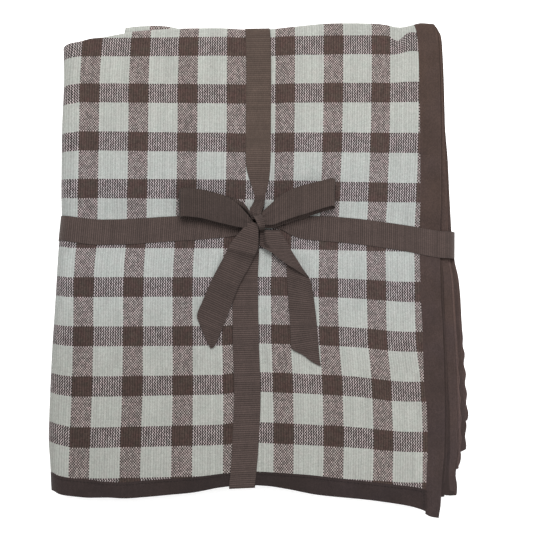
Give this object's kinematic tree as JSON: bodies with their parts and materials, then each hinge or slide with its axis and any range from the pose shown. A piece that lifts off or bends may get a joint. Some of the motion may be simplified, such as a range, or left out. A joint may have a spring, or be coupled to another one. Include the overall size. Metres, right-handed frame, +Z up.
{
  "type": "folded tablecloth tied with a ribbon",
  "caption": "Flat-folded check tablecloth with plain bands on its edges, tied lengthwise and crosswise with a ribbon in a bow.",
  "frame": {"origin": "on the surface, under the middle of the folded bundle's outline", "axes": "+X across the bundle from its folded side to its hem side, +Y along its length from the hems to the folds, +Z up"},
  "size_m": [0.4052, 0.4852, 0.0399],
  "materials": {
    "check_cloth": "plain-woven cotton in a light grey-green and brown check",
    "band_cloth": "plain-woven brown cotton, matte",
    "ribbed_ribbon": "brown grosgrain with fine cross ribs and a faint sheen"
  },
  "bodies": {
    "root": {"cloth_panel": "check_cloth", "band_end_upper": "band_cloth", "band_end_lower": "band_cloth", "band_side_upper": "band_cloth", "band_side_lower": "band_cloth", "ribbon": "ribbed_ribbon"}
  },
  "joints": []
}
